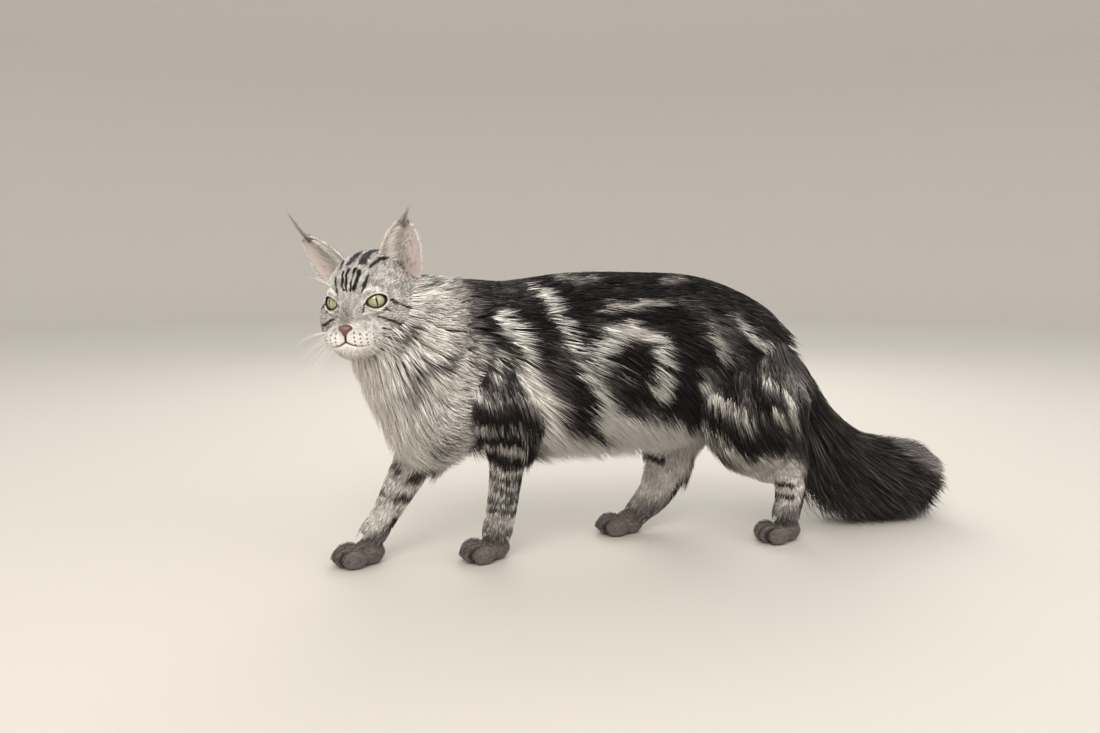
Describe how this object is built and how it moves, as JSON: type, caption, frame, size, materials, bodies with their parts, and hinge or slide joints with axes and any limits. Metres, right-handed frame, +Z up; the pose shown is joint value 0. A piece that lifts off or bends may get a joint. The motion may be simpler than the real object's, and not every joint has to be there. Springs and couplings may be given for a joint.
{
  "type": "maine coon cat",
  "caption": "Life-size long-haired silver tabby cat in mid-stride, head turned to its left, tail low; a still figure that stands on its four paws.",
  "frame": {"origin": "middle of the bounding box, at the level of the soles", "axes": "+Z up; the cat walks towards -X; +X towards the tail; -Y is the cat's left side"},
  "size_m": [0.8815, 0.1769, 0.4175],
  "materials": {
    "coat_charcoal": "near-black tabby coat with silver streaks, matt",
    "coat_silver": "silver-grey and cream long coat, matt",
    "coat_smoke": "dark grey-brown short coat, matt",
    "ear_skin": "thin pinkish-grey skin under fine pale down",
    "eye": "wet gloss, pale yellow-green iris and black slit pupil",
    "nose_leather": "brick-pink nose leather with a dark edge, slightly moist"
  },
  "bodies": {
    "root": {"ear_left": "ear_skin", "ear_right": "ear_skin", "eye_left": "eye", "eye_right": "eye", "foreleg_lower_left": "coat_silver", "foreleg_lower_right": "coat_silver", "foreleg_upper_left": "coat_charcoal", "foreleg_upper_right": "coat_charcoal", "forepaw_left": "coat_smoke", "forepaw_right": "coat_smoke", "head": "coat_silver", "hindpaw_left": "coat_smoke", "hindpaw_right": "coat_smoke", "neck": "coat_silver", "nose": "nose_leather", "shank_left": "coat_silver", "shank_right": "coat_silver", "tail_middle": "coat_charcoal", "tail_root": "coat_smoke", "tail_tip": "coat_smoke", "thigh_left": "coat_charcoal", "thigh_right": "coat_charcoal", "torso": "coat_charcoal"}
  },
  "joints": []
}
